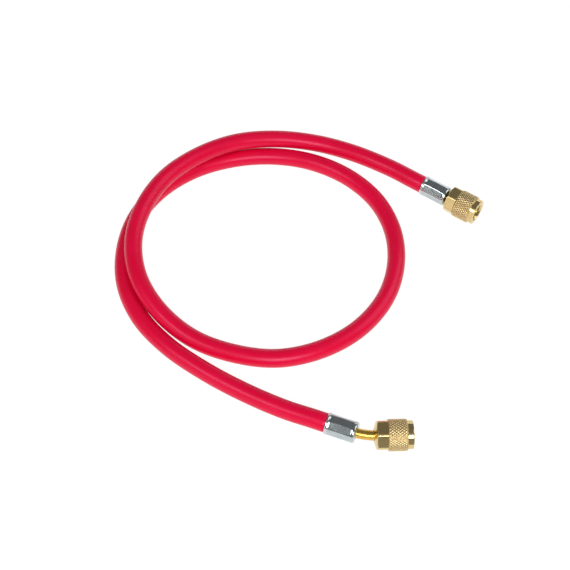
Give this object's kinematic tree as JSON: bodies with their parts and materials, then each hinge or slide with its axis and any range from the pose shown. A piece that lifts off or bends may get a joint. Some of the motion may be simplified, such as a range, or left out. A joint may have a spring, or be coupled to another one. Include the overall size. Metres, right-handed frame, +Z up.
{
  "type": "refrigerant charging hose",
  "caption": "Flexible red rubber refrigerant hose lying in a loose coil, with crimped steel ferrules and knurled brass swivel nuts at its ends, and a bent neck on one side.",
  "frame": {"origin": "on the floor, below the middle of the whole object's bounding box as it lies", "axes": "+Z up, +X the way nut b points within 1.5 degrees, +Y away from the picture's camera"},
  "size_m": [0.2334, 0.2325, 0.0231],
  "materials": {
    "red_rubber": "smooth semi-gloss red rubber cover",
    "zinc_plate": "bright zinc plate with crimp marks",
    "turned_brass": "turned brass with a diamond knurl",
    "drawn_brass": "smooth golden brass"
  },
  "bodies": {
    "hose_line": {"hose": "red_rubber", "ferrule_a": "zinc_plate", "ferrule_b": "zinc_plate", "stem_a": "drawn_brass", "stem_b": "drawn_brass"},
    "nut_a": {"swivel_nut_a": "turned_brass"},
    "nut_b": {"swivel_nut_b": "turned_brass"}
  },
  "joints": [
    {"name": "nut_a_swivel", "type": "hinge", "parent": "hose_line", "child": "nut_a", "pos_m": [0.09515, 0.06304, 0.009], "axis": [0.8192, -0.5736, 0], "continuous": true},
    {"name": "nut_b_swivel", "type": "hinge", "parent": "hose_line", "child": "nut_b", "pos_m": [0.03977, -0.10776, 0.009], "axis": [0.9997, 0.0262, 0], "continuous": true}
  ]
}
